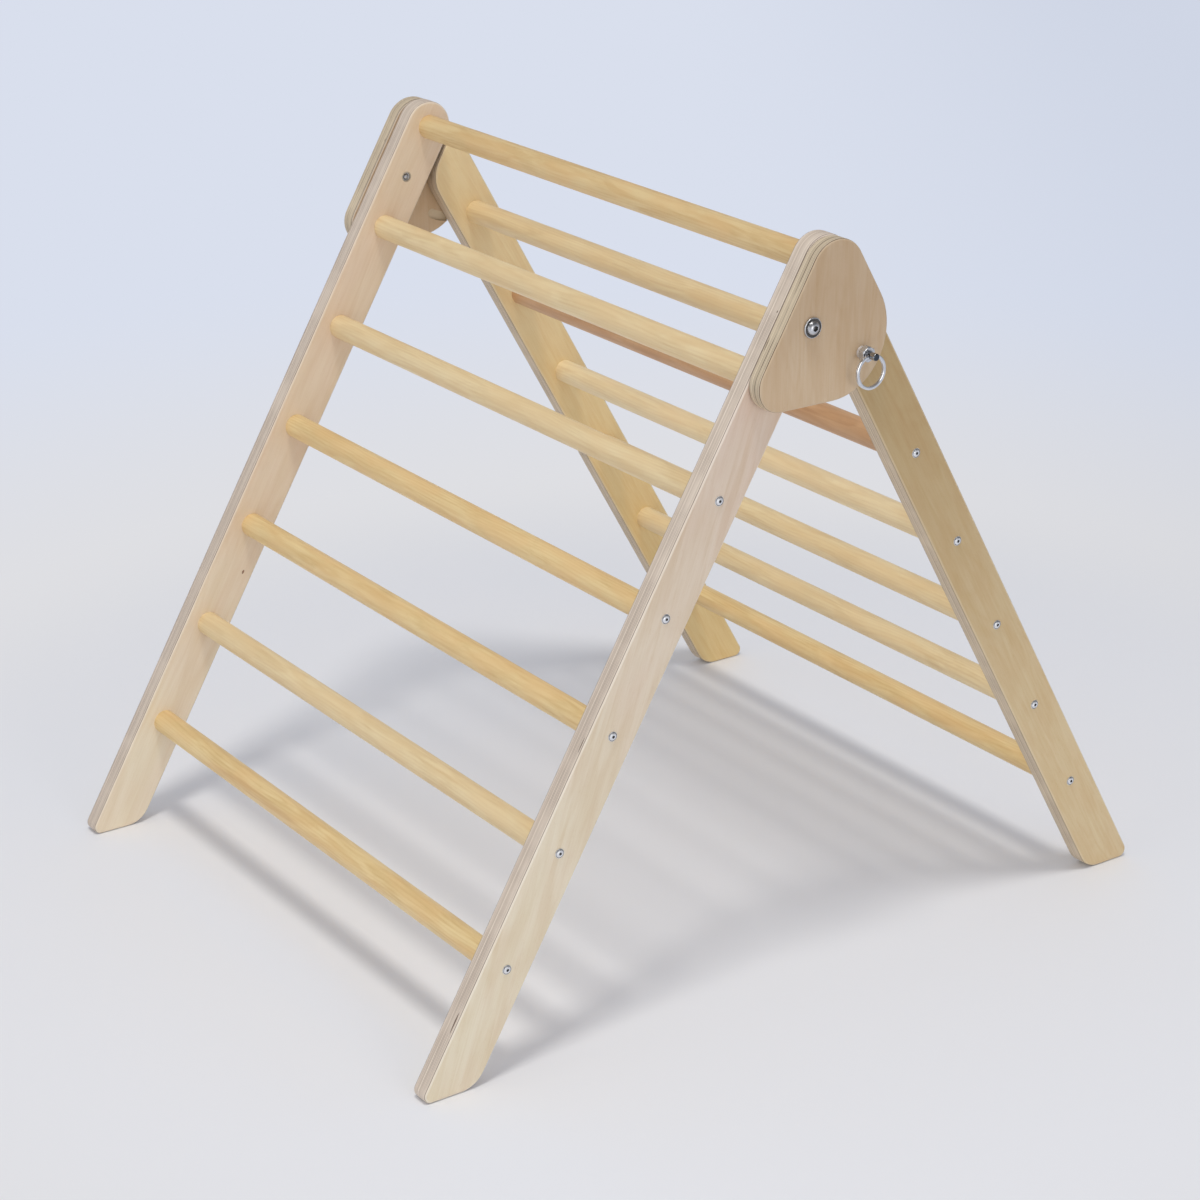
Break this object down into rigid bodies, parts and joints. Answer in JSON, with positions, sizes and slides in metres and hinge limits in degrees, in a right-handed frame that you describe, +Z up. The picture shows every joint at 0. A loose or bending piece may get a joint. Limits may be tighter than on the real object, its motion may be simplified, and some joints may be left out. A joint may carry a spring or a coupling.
{
  "type": "folding climbing triangle",
  "caption": "Child's folding climbing triangle: two plywood ladders with round rungs on hinged gussets, held open by pull-ring plungers.",
  "frame": {"origin": "floor level, under the middle of the overall box", "axes": "+X along the rungs to the right-hand gusset, -Y towards the front ladder's feet, +Z up"},
  "size_m": [0.672, 0.7692, 0.6515],
  "materials": {
    "plywood_rail": "satin clear lacquer",
    "plywood_gusset": "satin clear lacquer",
    "rung_wood": "satin clear lacquer",
    "screw_steel": "bright zinc",
    "bolt_steel": "polished",
    "insert_steel": "plain zinc",
    "plunger_steel": "satin",
    "ring_chrome": "polished",
    "spring_steel": "plain",
    "bush_brass": "plain"
  },
  "bodies": {
    "front_ladder": {"front_rail_left": "plywood_rail", "front_rail_right": "plywood_rail", "front_rung_1": "rung_wood", "front_rung_2": "rung_wood", "front_rung_3": "rung_wood", "front_rung_4": "rung_wood", "front_rung_5": "rung_wood", "front_rung_6": "rung_wood", "front_rung_7": "rung_wood", "front_rung_screws_left": "screw_steel", "front_rung_screws_right": "screw_steel", "gusset_left": "plywood_gusset", "gusset_right": "plywood_gusset", "gusset_bolt_left": "bolt_steel", "gusset_bolt_right": "bolt_steel", "bolt_insert_left": "insert_steel", "bolt_insert_right": "insert_steel", "gusset_dowels_left": "rung_wood", "gusset_dowels_right": "rung_wood", "pivot_pin_left": "insert_steel", "pivot_pin_right": "insert_steel", "lock_barrel_left": "plunger_steel", "lock_barrel_right": "plunger_steel", "lock_spring_left": "spring_steel", "lock_spring_right": "spring_steel"},
    "rear_ladder": {"rear_rail_left": "plywood_rail", "rear_rail_right": "plywood_rail", "rear_rung_1": "rung_wood", "rear_rung_2": "rung_wood", "rear_rung_3": "rung_wood", "rear_rung_4": "rung_wood", "rear_rung_5": "rung_wood", "rear_rung_6": "rung_wood", "rear_rung_screws_left": "screw_steel", "rear_rung_screws_right": "screw_steel", "pivot_bush_left": "bush_brass", "pivot_bush_right": "bush_brass", "lock_bush_left": "insert_steel", "lock_bush_right": "insert_steel"},
    "plunger_left": {"lock_pin_left": "plunger_steel"},
    "ring_left": {"pull_ring_left": "ring_chrome"},
    "plunger_right": {"lock_pin_right": "plunger_steel"},
    "ring_right": {"pull_ring_right": "ring_chrome"}
  },
  "joints": [
    {"name": "fold", "type": "hinge", "parent": "front_ladder", "child": "rear_ladder", "pos_m": [0, 0.032, 0.57257], "axis": [1, 0, 0], "range_deg": [-60, 0]},
    {"name": "pull_left", "type": "slide", "parent": "front_ladder", "child": "plunger_left", "axis": [-1, 0, 0], "range_m": [0, 0.008], "stiffness_N_per_m": 1000, "springref_m": -0.006, "deforming": ["lock_spring_left"]},
    {"name": "pull_right", "type": "slide", "parent": "front_ladder", "child": "plunger_right", "axis": [1, 0, 0], "range_m": [0, 0.008], "stiffness_N_per_m": 1000, "springref_m": -0.006, "deforming": ["lock_spring_right"]},
    {"name": "ring_swing_left", "type": "hinge", "parent": "plunger_left", "child": "ring_left", "pos_m": [-0.32925, 0.02588, 0.55518], "axis": [0, 1, 0], "range_deg": [-20, 110]},
    {"name": "ring_swing_right", "type": "hinge", "parent": "plunger_right", "child": "ring_right", "pos_m": [0.32925, 0.02588, 0.55518], "axis": [0, -1, 0], "range_deg": [-20, 110]}
  ]
}
